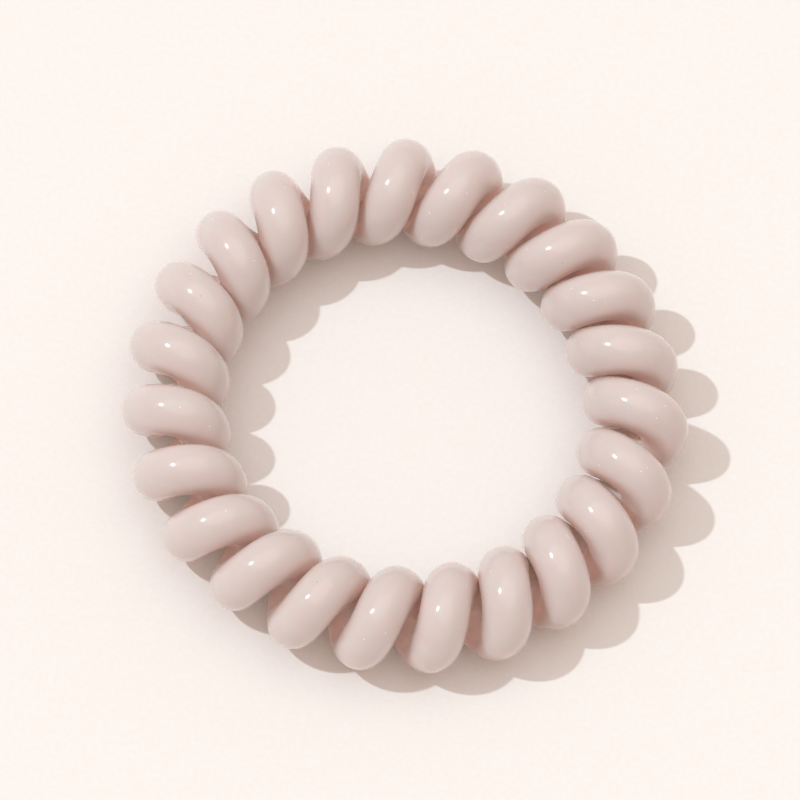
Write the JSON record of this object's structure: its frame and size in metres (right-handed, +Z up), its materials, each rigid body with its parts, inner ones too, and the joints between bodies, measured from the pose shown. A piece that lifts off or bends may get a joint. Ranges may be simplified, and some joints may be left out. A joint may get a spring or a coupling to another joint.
{
  "type": "spiral hair tie",
  "caption": "Ring-shaped hair tie made of one thick glossy plastic strand, wound as a close coil whose two ends are welded together",
  "frame": {"origin": "on the surface that the ring lies on, at the ring's own axis", "axes": "+Z up along the ring's axis, out of the surface that it lies on; -Y towards the viewer of the picture; +X to the viewer's right"},
  "size_m": [0.055, 0.0548, 0.0102],
  "materials": {
    "coil": "smooth moulded TPU, opaque dusty pink, glossy with a soft sheen"
  },
  "bodies": {
    "root": {"coil": "coil"}
  },
  "joints": []
}
